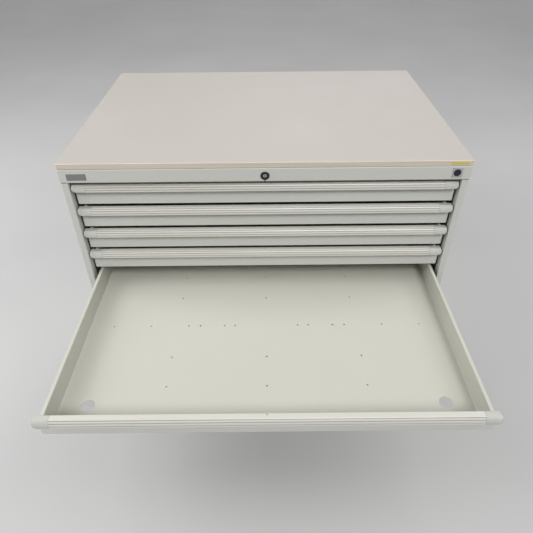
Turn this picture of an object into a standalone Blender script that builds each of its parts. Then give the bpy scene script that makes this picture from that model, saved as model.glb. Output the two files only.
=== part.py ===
"""Steel flat file cabinet with eight wide shallow drawers and a key lock.

Metres, +Z up, +Y towards the back, +X to the right of a person facing the drawers.
The origin lies on the floor, in the middle of the cabinet's footprint.
Drawers that are closed sit between the posts; the fifth from the top stands open.
"""
import bmesh
import bpy
from math import asin, cos, pi, radians, sin
from mathutils import Matrix, Vector

# ---- overall ----
WIDTH = 1.100
DEPTH = 0.774
HEIGHT = 0.750
TOP_THICKNESS = 0.016
SHEET = 0.0012
GAP = 0.0003
PAST = 0.010
FRONT = -DEPTH / 2
BACK = DEPTH / 2
BODY_HALF = WIDTH / 2 - 0.001
BODY_TOP = HEIGHT - TOP_THICKNESS - GAP

# ---- body shell ----
POST_WIDTH = 0.019
POST_LIP = 0.014
HEADER_HEIGHT = 0.0402
HEADER_RETURN = 0.035
HEADER_BOTTOM = BODY_TOP - HEADER_HEIGHT
PLINTH_HEIGHT = 0.052
PLINTH_INSET = 0.030
PLINTH_RAIL = 0.030
FLOOR_LEVEL = 0.082
KEEPER_DRAWERS = (2, 7)
OPENING_HALF = BODY_HALF - POST_WIDTH

# ---- drawer stack ----
DRAWERS = 8
OPEN_DRAWER = 5
TRAVEL = 0.536
PITCH = 0.0748
FIRST_TOP = HEADER_BOTTOM - 0.0114
DRAWER_HEIGHT = 0.0655

# ---- tray ----
TRAY_HALF = 0.5055
TRAY_FRONT = 0.0222
TRAY_BACK = 0.708
TRAY_DROP = 0.061
RIM_WIDTH = 0.0093
RIM_LIP = 0.009
PANEL_RECESS = 0.0202
PANEL_HALF = 0.525
PANEL_RETURN = 0.014
PANEL_ROLL = 0.003
PANEL_FLANGE = 0.006
BIG_HOLE_RADIUS = 0.0165
BIG_HOLE_X = 0.438
BIG_HOLE_FORWARD = 0.271
BIG_HOLE_SIDES = 20
PEG_RADIUS = 0.0025
PEG_SIDES = 6
PEG_ROW_X = (0.090, 0.1205, 0.190, 0.2235, 0.332, 0.438)
PEG_COLUMN_X = 0.255
PEG_COLUMN_Y = (0.118, 0.216)

# ---- handle profile, from its front plane and its top plane ----
HANDLE_FRONT = 0.003
HANDLE_DEPTH = 0.026
HANDLE_DROP = 0.019
HANDLE_SKIN = 0.002
HANDLE_HALF = 0.527
CAP_LENGTH = 0.036
CAP_ROUND = 0.010
RIDGE = 0.0126
FACE_BULGE = 0.0022
FACE_STEPS = 6
FACE_GROOVES = ((0.09, 0.20), (0.36, 0.50), (0.69, 0.82))
GROOVE = 0.0008
GROOVE_FLANK = 0.03
LIP_THICKNESS = 0.0026
LEG_FRONT = 0.0177
LEG_FOOT = HANDLE_DROP - 0.003

# ---- runners ----
RUNNER_SHEET = 0.0015
RUNNER_HEIGHT = 0.030
RUNNER_DROP = 0.020
MEMBER_FRONT = 0.040
MEMBER_LENGTH = 0.660
MEMBER_REACH = 0.012
RAIL_FRONT = 0.036
RAIL_LENGTH = 0.705
RAIL_CLEARANCE = 0.0015
UPRIGHT_WIDTH = 0.040
UPRIGHT_AT = (0.045, 0.365, 0.690)
RACK_CLEARANCE = 0.002

# ---- lock ----
LOCK_LOWERED = 0.0025
LOCK_HEIGHT = BODY_TOP - HEADER_HEIGHT / 2 - LOCK_LOWERED
BEZEL_RADIUS = 0.0122
BEZEL_THICKNESS = 0.0018
BEZEL_CHAMFER = 0.0009
BARREL_RADIUS = 0.009
BARREL_LENGTH = 0.024
PLUG_RADIUS = 0.0062
KEYWAY_WIDTH = 0.0018
KEYWAY_HEIGHT = 0.0080
KEYWAY_DEPTH = 0.010
SHAFT_RADIUS = 0.004
CRANK_RADIUS = 0.008
CRANK_THICKNESS = 0.004
CRANK_CLEARANCE = 0.001
LATCH_TRAVEL = 0.0054
CRANK_THROW = LATCH_TRAVEL / (2 * sin(radians(45)))
PIN_RADIUS = 0.0015
PIN_PLAY = 0.0005
WELD = 0.002
BAR_HALF = 0.012
BAR_THICKNESS = 0.003
BAR_FACE = DEPTH - 0.008
BAR_FOOT = 0.010
BAR_HEAD = 0.015
ARM_HALF = 0.010
ARM_LIFT = 0.0062
ARM_THICKNESS = 0.0025
NOSE_DROP = 0.005
NOSE_FACE = 0.700
GUIDE_SHEET = 0.0025
GUIDE_HEIGHT = 0.030


# ---------------------------------------------------------------- helpers
def clear_scene():
    for item in list(bpy.data.objects):
        bpy.data.objects.remove(item, do_unlink=True)


def material(name, colour, roughness, metallic=0.0):
    paint = bpy.data.materials.new(name)
    paint.use_nodes = True
    shader = paint.node_tree.nodes["Principled BSDF"]
    shader.inputs["Base Color"].default_value = (*colour, 1.0)
    shader.inputs["Roughness"].default_value = roughness
    shader.inputs["Metallic"].default_value = metallic
    return paint


def new_object(name, mesh):
    item = bpy.data.objects.new(name, mesh)
    bpy.context.scene.collection.objects.link(item)
    return item


def from_bmesh(name, shape):
    bmesh.ops.recalc_face_normals(shape, faces=shape.faces)
    mesh = bpy.data.meshes.new(name)
    shape.to_mesh(mesh)
    shape.free()
    return new_object(name, mesh)


def box(name, low, high):
    """Block between two opposite corners."""
    shape = bmesh.new()
    size = Vector(high) - Vector(low)
    middle = (Vector(high) + Vector(low)) / 2
    bmesh.ops.create_cube(shape, size=1.0)
    bmesh.ops.scale(shape, vec=size, verts=shape.verts)
    bmesh.ops.translate(shape, vec=middle, verts=shape.verts)
    return from_bmesh(name, shape)


def cylinder(name, radius, start, length, axis, sides=24):
    """Round bar that starts at a point and runs along +X, +Y or +Z."""
    shape = bmesh.new()
    bmesh.ops.create_cone(shape, cap_ends=True, segments=sides, radius1=radius, radius2=radius, depth=length)
    bmesh.ops.translate(shape, vec=(0, 0, length / 2), verts=shape.verts)
    turn = Vector((0, 0, 1)).rotation_difference(Vector(axis)).to_matrix()
    bmesh.ops.rotate(shape, cent=(0, 0, 0), matrix=turn, verts=shape.verts)
    bmesh.ops.translate(shape, vec=start, verts=shape.verts)
    return from_bmesh(name, shape)


def place(axis, along, across):
    """3-D point for a section point; the section is (Y, Z) along X or (X, Y) along Z or (X, Z) along Y."""
    if axis == "X":
        return (along, across[0], across[1])
    if axis == "Y":
        return (across[0], along, across[1])
    return (across[0], across[1], along)


def extrude(name, outline, axis, start, stop):
    """Solid bar with a closed outline, between two stations on an axis."""
    shape = bmesh.new()
    ring = [shape.verts.new(place(axis, start, point)) for point in outline]
    face = shape.faces.new(ring)
    grown = bmesh.ops.extrude_face_region(shape, geom=[face])
    moved = [part for part in grown["geom"] if isinstance(part, bmesh.types.BMVert)]
    step = Vector(place(axis, stop - start, (0, 0)))
    bmesh.ops.translate(shape, vec=step, verts=moved)
    return from_bmesh(name, shape)


def fold(name, path, axis, start, stop, thickness=SHEET):
    """Bent sheet: an open path is the outer line, and the metal lies to the right of its direction."""
    inner = []
    for index, point in enumerate(path):
        here = Vector(point)
        normals = []
        if index > 0:
            run = (here - Vector(path[index - 1])).normalized()
            normals.append(Vector((run.y, -run.x)))
        if index < len(path) - 1:
            run = (Vector(path[index + 1]) - here).normalized()
            normals.append(Vector((run.y, -run.x)))
        mean = sum(normals, Vector((0, 0))).normalized()
        reach = thickness / mean.dot(normals[0])
        inner.append(tuple(here + mean * reach))
    return extrude(name, [*path, *reversed(inner)], axis, start, stop)


def arc(centre, radius, first, last, steps):
    """Points on an arc between two angles in degrees."""
    points = []
    for step in range(steps + 1):
        angle = radians(first + (last - first) * step / steps)
        points.append((centre[0] + radius * cos(angle), centre[1] + radius * sin(angle)))
    return points


def boolean(target, tools, operation):
    """Cut or join with other bodies, which are used up, and keep one plain mesh."""
    for tool in tools:
        step = target.modifiers.new("Boolean", "BOOLEAN")
        step.operation = operation
        step.solver = "EXACT"
        step.object = tool
    graph = bpy.context.evaluated_depsgraph_get()
    baked = bpy.data.meshes.new_from_object(target.evaluated_get(graph))
    target.modifiers.clear()
    target.data = baked
    baked.name = target.name
    for tool in tools:
        bpy.data.objects.remove(tool, do_unlink=True)
    return target


def tidy(item):
    """Weld stray doubles and flatten leftover cuts in flat faces."""
    shape = bmesh.new()
    shape.from_mesh(item.data)
    bmesh.ops.remove_doubles(shape, verts=shape.verts, dist=0.00001)
    bmesh.ops.dissolve_limit(shape, angle_limit=radians(0.2), verts=shape.verts, edges=shape.edges)
    bmesh.ops.recalc_face_normals(shape, faces=shape.faces)
    shape.to_mesh(item.data)
    shape.free()
    return item


def mirrored(name, item):
    """The same body on the other side of the cabinet's middle plane."""
    shape = bmesh.new()
    shape.from_mesh(item.data)
    bmesh.ops.scale(shape, vec=(-1, 1, 1), verts=shape.verts)
    bmesh.ops.reverse_faces(shape, faces=shape.faces)
    return from_bmesh(name, shape)


def paint(item, surface, smooth_angle=None):
    item.data.materials.clear()
    item.data.materials.append(surface)
    if smooth_angle:
        for polygon in item.data.polygons:
            polygon.use_smooth = True
        item.data.set_sharp_from_angle(angle=radians(smooth_angle))
    return item


def drawer_top(number):
    return FIRST_TOP - PITCH * (number - 1)


# ---------------------------------------------------------------- body shell
def make_worktop():
    half = WIDTH / 2
    board = box("worktop", (-half, FRONT, HEIGHT - TOP_THICKNESS), (half, BACK, HEIGHT))
    edges = board.modifiers.new("Edges", "BEVEL")
    edges.width = 0.0008
    edges.segments = 1
    return board


def make_side_panel():
    """Left side: flat skin with folded front post and back flange, notched under the header rail."""
    back_flange = BACK - SHEET - GAP
    outside = -BODY_HALF
    post = -OPENING_HALF
    path = [
        (post, FRONT + POST_LIP),
        (post, FRONT),
        (outside, FRONT),
        (outside, back_flange),
        (post, back_flange),
    ]
    panel = fold("left_side_panel", path, "Z", PLINTH_HEIGHT + GAP, BODY_TOP)
    seam = HEADER_BOTTOM - GAP
    above = BODY_TOP + PAST
    inside = outside + SHEET + GAP
    face_high = (post + PAST, FRONT + SHEET + GAP, above)
    face_cut = box("face_cut", (outside - PAST, FRONT - PAST, seam), face_high)
    lip_cut = box("lip_cut", (inside, FRONT - PAST, seam), (post + PAST, FRONT + HEADER_RETURN + GAP, above))
    return tidy(boolean(panel, [face_cut, lip_cut], "DIFFERENCE"))


def make_header_rail():
    """Channel across the front that carries the lock."""
    reach = FRONT + HEADER_RETURN
    path = [(reach, BODY_TOP), (FRONT, BODY_TOP), (FRONT, HEADER_BOTTOM), (reach, HEADER_BOTTOM)]
    rail = fold("header_rail", path[::-1], "X", -BODY_HALF, BODY_HALF)
    inside = BODY_HALF - SHEET - GAP
    cuts = []
    for side in (-1, 1):
        ends = sorted((side * inside, side * (BODY_HALF + PAST)))
        low = (ends[0], FRONT + SHEET, HEADER_BOTTOM - PAST)
        high = (ends[1], reach + PAST, BODY_TOP + PAST)
        cuts.append(box("end_cut", low, high))
    hole = (0, FRONT - PAST, LOCK_HEIGHT)
    cuts.append(cylinder("lock_hole", BARREL_RADIUS + GAP, hole, 2 * PAST, (0, 1, 0)))
    return tidy(boolean(rail, cuts, "DIFFERENCE"))


def make_bottom_panel():
    """Cabinet floor with a folded rail below the last drawer."""
    low = PLINTH_HEIGHT + GAP
    rear = BACK - 2 * SHEET - 2 * GAP
    inside = BODY_HALF - SHEET - GAP
    path = [(FRONT, low), (FRONT, FLOOR_LEVEL), (rear, FLOOR_LEVEL), (rear, low)]
    panel = fold("bottom_panel", path, "X", -inside, inside)
    cuts = []
    for side in (-1, 1):
        ends = sorted((side * (OPENING_HALF - GAP), side * (inside + PAST)))
        first = (ends[0], FRONT - PAST, low - PAST)
        last = (ends[1], FRONT + POST_LIP + GAP, FLOOR_LEVEL + PAST)
        cuts.append(box("corner_cut", first, last))
    return tidy(boolean(panel, cuts, "DIFFERENCE"))


def make_back_panel():
    """Rear skin with two keepers that guide the latch bar."""
    skin_front = BACK - SHEET
    panel = box("back_panel", (-BODY_HALF, skin_front, PLINTH_HEIGHT + GAP), (BODY_HALF, BACK, BODY_TOP))
    guides = []
    keeper_front = FRONT + BAR_FACE - BAR_THICKNESS - GUIDE_SHEET - 2 * GAP
    keeper_back = keeper_front + GUIDE_SHEET
    for number in KEEPER_DRAWERS:
        level = drawer_top(number) - DRAWER_HEIGHT / 2
        low = level - GUIDE_HEIGHT / 2
        high = level + GUIDE_HEIGHT / 2
        wide = BAR_HALF + GAP
        outer = wide + GUIDE_SHEET
        path = [
            (-outer, skin_front + SHEET / 2),
            (-outer, keeper_front),
            (outer, keeper_front),
            (outer, skin_front + SHEET / 2),
        ]
        guides.append(fold("guide", path[::-1], "Z", low, high, GUIDE_SHEET))
    return tidy(boolean(panel, guides, "UNION"))


def make_plinth():
    """Welded frame of rails, with one cross rail under the middle."""
    half = BODY_HALF - PLINTH_INSET
    front = FRONT + PLINTH_INSET
    rear = BACK - PLINTH_INSET
    outer = box("plinth", (-half, front, 0), (half, rear, PLINTH_HEIGHT))
    pockets = []
    for side in (-1, 1):
        ends = sorted((side * PLINTH_RAIL, side * (half - PLINTH_RAIL)))
        low = (ends[0], front + PLINTH_RAIL, -PAST)
        high = (ends[1], rear - PLINTH_RAIL, PLINTH_HEIGHT + PAST)
        pockets.append(box("pocket", low, high))
    return tidy(boolean(outer, pockets, "DIFFERENCE"))


def make_runner_rack():
    """Left side: three uprights and one inward channel for each drawer, welded together."""
    upright_face = -(OPENING_HALF - RACK_CLEARANCE)
    upright_back = -(BODY_HALF - SHEET - GAP)
    low = FLOOR_LEVEL + GAP
    high = BODY_TOP - RACK_CLEARANCE
    pieces = []
    for station in UPRIGHT_AT:
        near = FRONT + station
        far = near + UPRIGHT_WIDTH
        path = [(upright_back, near), (upright_face, near), (upright_face, far), (upright_back, far)]
        pieces.append(fold("upright", path[::-1], "Z", low, high, RUNNER_SHEET))
    web = upright_face - RUNNER_SHEET / 2
    tip = -(TRAY_HALF + SHEET + GAP + RUNNER_SHEET + RAIL_CLEARANCE)
    inset = RUNNER_SHEET + RAIL_CLEARANCE
    for number in range(1, DRAWERS + 1):
        upper = drawer_top(number) - RUNNER_DROP - inset
        lower = drawer_top(number) - RUNNER_DROP - RUNNER_HEIGHT + inset
        path = [(tip, upper), (web, upper), (web, lower), (tip, lower)]
        rail_start = FRONT + RAIL_FRONT
        pieces.append(fold("rail", path[::-1], "Y", rail_start, rail_start + RAIL_LENGTH, RUNNER_SHEET))
    rack = pieces.pop(0)
    rack.name = "left_runner_rack"
    return tidy(boolean(rack, pieces, "UNION"))


# ---------------------------------------------------------------- drawer parts, with the top plane at Z = 0
def make_trough():
    """Floor, side walls and out-turned rims, bent from one sheet."""
    rim = TRAY_HALF + RIM_WIDTH
    half = [(rim, -RIM_LIP), (rim, 0), (TRAY_HALF, 0), (TRAY_HALF, -TRAY_DROP)]
    path = [(-across, up) for across, up in half] + half[::-1]
    return fold("tray", path, "Y", FRONT + TRAY_FRONT, FRONT + TRAY_BACK + SHEET / 2)


def make_rear_wall():
    rim = TRAY_HALF + RIM_WIDTH
    back = FRONT + TRAY_BACK
    path = [
        (back - SHEET / 2, -TRAY_DROP),
        (back, -TRAY_DROP),
        (back, 0),
        (back + RIM_WIDTH, 0),
        (back + RIM_WIDTH, -RIM_LIP),
    ]
    return fold("rear_wall", path, "X", -rim, rim)


def make_front_panel():
    """Outer panel with a rolled lower edge, and a cheek at each end."""
    outer = FRONT + PANEL_RECESS
    top = -HANDLE_SKIN - GAP
    roll_centre = (outer + PANEL_ROLL, -DRAWER_HEIGHT + PANEL_ROLL)
    path = [(outer + PANEL_RETURN, -DRAWER_HEIGHT)]
    path += arc(roll_centre, PANEL_ROLL, -90, -180, 3)
    path += [(outer, top), (outer + PANEL_FLANGE, top)]
    pieces = [fold("panel", path, "X", -PANEL_HALF, PANEL_HALF)]
    for side in (-1, 1):
        ends = sorted((side * PANEL_HALF, side * (PANEL_HALF - SHEET)))
        first = (ends[0], outer + SHEET / 2, -DRAWER_HEIGHT + PANEL_ROLL)
        last = (ends[1], outer + PANEL_RETURN, top)
        pieces.append(box("cheek", first, last))
    return pieces


def tray_drills():
    """Two large holes in front, and rows of small ones for stops and pegs."""
    middle = FRONT + (HANDLE_DEPTH + TRAY_BACK) / 2
    below = -TRAY_DROP - PAST
    up = (0, 0, 1)
    drills = []
    for side in (-1, 1):
        spot = (side * BIG_HOLE_X, middle - BIG_HOLE_FORWARD, below)
        drills.append(cylinder("hole", BIG_HOLE_RADIUS, spot, 2 * PAST, up, BIG_HOLE_SIDES))
        for across in PEG_ROW_X:
            spot = (side * across, middle, below)
            drills.append(cylinder("hole", PEG_RADIUS, spot, 2 * PAST, up, PEG_SIDES))
        for across in (-PEG_COLUMN_X, 0, PEG_COLUMN_X):
            for along in PEG_COLUMN_Y:
                spot = (across, middle + side * along, below)
                drills.append(cylinder("hole", PEG_RADIUS, spot, 2 * PAST, up, PEG_SIDES))
    return drills


def make_tray():
    """Sheet tray welded from its bent sheets, open at the top, with a seat for the handle."""
    tray = make_trough()
    wall = TRAY_HALF + SHEET
    rim = TRAY_HALF + RIM_WIDTH
    front = FRONT + TRAY_FRONT
    back = FRONT + TRAY_BACK
    front_wall = box("front_wall", (-wall, front - SHEET, -TRAY_DROP - SHEET), (wall, front + SHEET / 4, 0))
    boolean(tray, [front_wall, make_rear_wall(), *make_front_panel()], "UNION")
    seat_low = (-PANEL_HALF - PAST, FRONT, -HANDLE_SKIN - GAP)
    seat_high = (PANEL_HALF + PAST, FRONT + HANDLE_DEPTH + GAP, PAST)
    cuts = [box("seat", seat_low, seat_high)]
    for side in (-1, 1):
        ends = sorted((side * wall, side * (rim + PAST)))
        first = (ends[0], back - SHEET, -TRAY_DROP - PAST)
        last = (ends[1], back + RIM_WIDTH + PAST, -RIM_LIP)
        cuts.append(box("corner", first, last))
    return tidy(boolean(tray, [*cuts, *tray_drills()], "DIFFERENCE"))


def face_point(share, depth=0.0):
    """Point on the handle's bulging face: a share of the way from ridge to lip, and a depth behind it."""
    ridge = Vector((FRONT + RIDGE, 0))
    lip = Vector((FRONT + HANDLE_FRONT, -HANDLE_DROP))
    chord = lip - ridge
    radius = (chord.length_squared / 4 + FACE_BULGE**2) / (2 * FACE_BULGE)
    outward = Vector((chord.y, -chord.x)).normalized()
    centre = (ridge + lip) / 2 - outward * (radius - FACE_BULGE)
    angle = asin(chord.length / 2 / radius) * (2 * share - 1)
    return tuple(centre + Matrix.Rotation(angle, 2) @ outward * (radius - depth))


def face_line(first, last, depth=0.0):
    """Points along the face, or behind it, between two shares."""
    return [face_point(first + (last - first) * step / FACE_STEPS, depth) for step in range(FACE_STEPS + 1)]


def face_groove(first, last):
    """Shallow groove across the face, between two shares."""
    return [
        face_point(first),
        face_point(first + GROOVE_FLANK, GROOVE),
        face_point(last - GROOVE_FLANK, GROOVE),
        face_point(last),
    ]


def make_handle():
    """Full-width grip profile: flat top, bulging face with three grooves, and a lip to pull on."""
    back = FRONT + HANDLE_DEPTH
    leg_back = FRONT + PANEL_RECESS - GAP
    outline = [(back, 0), face_point(0)]
    for first, last in FACE_GROOVES:
        outline += face_groove(first, last)
    outline.append(face_point(1))
    outline += face_line(1, 0, LIP_THICKNESS)
    outline += [
        (FRONT + LEG_FRONT, -HANDLE_SKIN),
        (FRONT + LEG_FRONT, -LEG_FOOT),
        (leg_back, -LEG_FOOT),
        (leg_back, -HANDLE_SKIN),
        (back, -HANDLE_SKIN),
    ]
    half = HANDLE_HALF - CAP_LENGTH - GAP
    return extrude("handle", outline, "X", -half, half)


def make_end_cap():
    """Left moulded cap that closes the grip profile; its lower outer corner is round."""
    back = FRONT + HANDLE_DEPTH
    leg = FRONT + PANEL_RECESS - GAP
    section = [(back, 0), *face_line(0, 1), (leg, -HANDLE_DROP), (leg, -HANDLE_SKIN), (back, -HANDLE_SKIN)]
    inner = -(HANDLE_HALF - CAP_LENGTH)
    cap = extrude("cap", section, "X", -HANDLE_HALF - PAST, inner)
    round_centre = (-HANDLE_HALF + CAP_ROUND, -HANDLE_DROP + CAP_ROUND)
    outline = [(inner + PAST, PAST), (inner + PAST, -HANDLE_DROP)]
    outline += arc(round_centre, CAP_ROUND, -90, -180, 6)
    outline += [(-HANDLE_HALF, PAST)]
    shape = extrude("shape", outline, "Y", FRONT - PAST, back + PAST)
    return tidy(boolean(cap, [shape], "INTERSECT"))


def make_drawer_runner():
    """Left channel screwed to the tray wall; it wraps the fixed rail."""
    web = -(TRAY_HALF + SHEET + GAP)
    tip = web - MEMBER_REACH
    path = [
        (tip, -RUNNER_DROP),
        (web, -RUNNER_DROP),
        (web, -RUNNER_DROP - RUNNER_HEIGHT),
        (tip, -RUNNER_DROP - RUNNER_HEIGHT),
    ]
    start = FRONT + MEMBER_FRONT
    return fold("runner", path, "Y", start, start + MEMBER_LENGTH, RUNNER_SHEET)


def make_drawers(steel, grip, plastic, zinc):
    tray = paint(make_tray(), steel)
    handle = paint(make_handle(), grip)
    left_cap = paint(make_end_cap(), plastic, 30)
    right_cap = paint(mirrored("cap_right", left_cap), plastic, 30)
    left_runner = paint(make_drawer_runner(), zinc)
    right_runner = paint(mirrored("runner_right", left_runner), zinc)
    masters = {
        "tray": tray,
        "handle": handle,
        "cap_left": left_cap,
        "cap_right": right_cap,
        "runner_left": left_runner,
        "runner_right": right_runner,
    }
    for number in range(1, DRAWERS + 1):
        slide = bpy.data.objects.new(f"drawer_{number}_slide", None)
        bpy.context.scene.collection.objects.link(slide)
        slide.location.z = drawer_top(number)
        if number == OPEN_DRAWER:
            slide.location.y = -TRAVEL
        for role, master in masters.items():
            part = new_object(f"drawer_{number}_{role}", master.data)
            part.parent = slide
    for master in masters.values():
        bpy.data.objects.remove(master, do_unlink=True)


# ---------------------------------------------------------------- lock
def lathe(name, profile, sides=32):
    """Body of revolution about the lock's axis; the profile is (distance behind the front plane, radius)."""
    shape = bmesh.new()
    ring = [shape.verts.new((radius, along, 0)) for along, radius in profile]
    loop = list(zip(ring, ring[1:] + ring[:1]))
    edges = [shape.edges.new(pair) for pair in loop]
    bmesh.ops.spin(
        shape, geom=ring + edges, cent=(0, 0, 0), axis=(0, 1, 0), angle=2 * pi, steps=sides, use_merge=True
    )
    bmesh.ops.remove_doubles(shape, verts=shape.verts, dist=0.00001)
    item = from_bmesh(name, shape)
    item.location = (0, FRONT, LOCK_HEIGHT)
    return item


def make_lock_housing():
    """Bezel and barrel with a through bore."""
    bore = PLUG_RADIUS + GAP
    rear = BARREL_LENGTH
    profile = [
        (-BEZEL_THICKNESS - GAP, bore),
        (-BEZEL_THICKNESS - GAP, BEZEL_RADIUS - BEZEL_CHAMFER),
        (-BEZEL_THICKNESS - GAP + BEZEL_CHAMFER, BEZEL_RADIUS),
        (-GAP, BEZEL_RADIUS),
        (-GAP, BARREL_RADIUS),
        (rear, BARREL_RADIUS),
        (rear, bore),
    ]
    return lathe("lock_housing", profile)


def make_lock_plug():
    """Turning plug with keyway, long shaft and a small crank at the back; origin on its axis."""
    back = (0, 1, 0)
    face = FRONT - BEZEL_THICKNESS - GAP
    plug_length = BEZEL_THICKNESS + BARREL_LENGTH + WELD
    plug = cylinder("lock_plug", PLUG_RADIUS, (0, face, 0), plug_length, back, 32)
    crank_back = FRONT + BAR_FACE - BAR_THICKNESS - CRANK_CLEARANCE
    crank_front = crank_back - CRANK_THICKNESS
    shaft_start = face + plug_length - WELD
    shaft_length = crank_front + WELD - shaft_start
    shaft = cylinder("shaft", SHAFT_RADIUS, (0, shaft_start, 0), shaft_length, back)
    crank = cylinder("crank", CRANK_RADIUS, (0, crank_front, 0), CRANK_THICKNESS, back)
    pin_spot = (CRANK_THROW * cos(radians(45)), crank_back - WELD, CRANK_THROW * sin(radians(45)))
    pin = cylinder("pin", PIN_RADIUS, pin_spot, WELD + CRANK_CLEARANCE + BAR_THICKNESS, back, 12)
    boolean(plug, [shaft, crank, pin], "UNION")
    low = (-KEYWAY_WIDTH / 2, face - PAST, -KEYWAY_HEIGHT / 2)
    high = (KEYWAY_WIDTH / 2, face + KEYWAY_DEPTH, KEYWAY_HEIGHT / 2)
    tidy(boolean(plug, [box("keyway", low, high)], "DIFFERENCE"))
    plug.location.z = LOCK_HEIGHT
    return plug


def make_lock_bar():
    """Upright latch bar at the back with one hook over the rear rim of each drawer."""
    face = FRONT + BAR_FACE
    near = face - BAR_THICKNESS
    foot = drawer_top(DRAWERS) - BAR_FOOT
    bar = box("lock_bar", (-BAR_HALF, near, foot), (BAR_HALF, face, LOCK_HEIGHT + BAR_HEAD))
    nose = FRONT + NOSE_FACE
    hooks = []
    for number in range(1, DRAWERS + 1):
        level = drawer_top(number) + ARM_LIFT + ARM_THICKNESS
        path = [(nose, level - ARM_THICKNESS - NOSE_DROP), (nose, level), (near + BAR_THICKNESS / 2, level)]
        hooks.append(fold("hook", path, "X", -ARM_HALF, ARM_HALF, ARM_THICKNESS))
    boolean(bar, hooks, "UNION")
    pin_height = LOCK_HEIGHT + CRANK_THROW * sin(radians(45))
    tall = PIN_RADIUS + PIN_PLAY
    reach = CRANK_THROW + tall
    slot = box("slot", (-reach, near - PAST, pin_height - tall), (reach, face + PAST, pin_height + tall))
    return tidy(boolean(bar, [slot], "DIFFERENCE"))


# ---------------------------------------------------------------- assembly
def build():
    clear_scene()
    shell = material("body_enamel", (0.468, 0.479, 0.434), 0.42)
    board = material("laminate", (0.610, 0.580, 0.550), 0.55)
    tray_enamel = material("tray_enamel", (0.560, 0.565, 0.490), 0.45)
    grip = material("handle_enamel", (0.680, 0.675, 0.630), 0.38)
    plastic = material("cap_plastic", (0.640, 0.645, 0.590), 0.50)
    zinc = material("zinc_steel", (0.560, 0.570, 0.580), 0.35, 1.0)
    nickel = material("lock_nickel", (0.420, 0.420, 0.410), 0.28, 1.0)
    dark = material("plinth_enamel", (0.060, 0.060, 0.062), 0.50)

    paint(make_worktop(), board)
    left_side = paint(make_side_panel(), shell)
    paint(mirrored("right_side_panel", left_side), shell)
    paint(make_header_rail(), shell)
    paint(make_bottom_panel(), shell)
    paint(make_back_panel(), shell)
    paint(make_plinth(), dark)
    left_rack = paint(make_runner_rack(), zinc)
    paint(mirrored("right_runner_rack", left_rack), zinc)
    make_drawers(tray_enamel, grip, plastic, zinc)
    paint(make_lock_housing(), nickel, 40)
    paint(make_lock_plug(), nickel, 40)
    paint(make_lock_bar(), zinc)


build()
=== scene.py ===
"""Looks of the steel flat file cabinet: enamelled sheet, laminate top, ribbed drawer grips and a cam lock.

Metres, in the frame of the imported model: +X right, +Y to the back, +Z up, origin on the floor.
A drawer's pieces are drawn once, with its front plane at Y = 0 and its top plane at Z = 0.
"""
from math import atan2, cos, pi, radians, sin, sqrt, tan

import bmesh
import bpy
from mathutils import Matrix, Vector


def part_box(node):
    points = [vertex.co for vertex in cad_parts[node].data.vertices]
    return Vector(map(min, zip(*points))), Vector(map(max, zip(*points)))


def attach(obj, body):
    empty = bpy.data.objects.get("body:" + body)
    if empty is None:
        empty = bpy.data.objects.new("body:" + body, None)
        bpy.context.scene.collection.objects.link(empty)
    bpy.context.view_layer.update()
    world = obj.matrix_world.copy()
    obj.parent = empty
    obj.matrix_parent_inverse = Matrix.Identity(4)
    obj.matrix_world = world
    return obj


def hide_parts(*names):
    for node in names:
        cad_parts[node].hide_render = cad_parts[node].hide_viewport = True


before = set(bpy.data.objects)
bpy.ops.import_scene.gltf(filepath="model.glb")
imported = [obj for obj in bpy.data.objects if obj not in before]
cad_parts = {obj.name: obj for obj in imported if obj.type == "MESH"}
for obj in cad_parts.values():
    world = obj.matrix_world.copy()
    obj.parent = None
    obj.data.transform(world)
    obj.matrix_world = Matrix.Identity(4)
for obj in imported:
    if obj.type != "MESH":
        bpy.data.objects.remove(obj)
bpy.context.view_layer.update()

# ---- shared sizes ----
SHEET = 0.0012
GAP = 0.0003
ARC_STEP = radians(15)
BEND = 0.0022
HEADER_BEND = 0.0032
PAST = 0.01

# ---- what the frame says ----
TOP_LOW, TOP_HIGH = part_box("worktop")
HEADER_LOW, HEADER_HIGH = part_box("header_rail")
SIDE_LOW, SIDE_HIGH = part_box("left_side_panel")
FLOOR_LOW, FLOOR_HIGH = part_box("bottom_panel")
BACK_LOW, BACK_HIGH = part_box("back_panel")
PLINTH_LOW, PLINTH_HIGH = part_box("plinth")
BEZEL_LOW, BEZEL_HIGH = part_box("lock_housing")
PLUG_LOW, PLUG_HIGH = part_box("lock_plug")
TRAY_LOW, TRAY_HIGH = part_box("drawer_1_tray")
GRIP_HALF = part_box("drawer_1_handle")[1].x
CAP_LOW, CAP_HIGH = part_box("drawer_1_cap_left")
MEMBER_LOW, MEMBER_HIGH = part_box("drawer_1_runner_left")
DRAWERS = sum(name.endswith("_tray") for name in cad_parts)
FRONT = HEADER_LOW.y

# ---- worktop ----
BAND = 0.0020
BAND_ARRIS = 0.0016
BAND_CORNER = 0.0022
BOARD_GAP = 0.0001

# ---- body ----
POST_LIP = 0.027
HEADER_RETURN = HEADER_HIGH.y - FRONT
PLINTH_RAIL = 0.030
PLINTH_CORNER = 0.004
SCREW_HEAD = 0.0042
SCREW_CROWN = 0.55
SCREW_RISE = 0.0016
SCREW_ARM = SCREW_HEAD * 0.5
SCREW_ARM_HALF = SCREW_HEAD * 0.1
SCREW_RECESS = SCREW_RISE * 0.45
SCREW_INSET = 0.012
SCREW_COLUMNS = 6
SCREW_ROWS = 4

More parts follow.
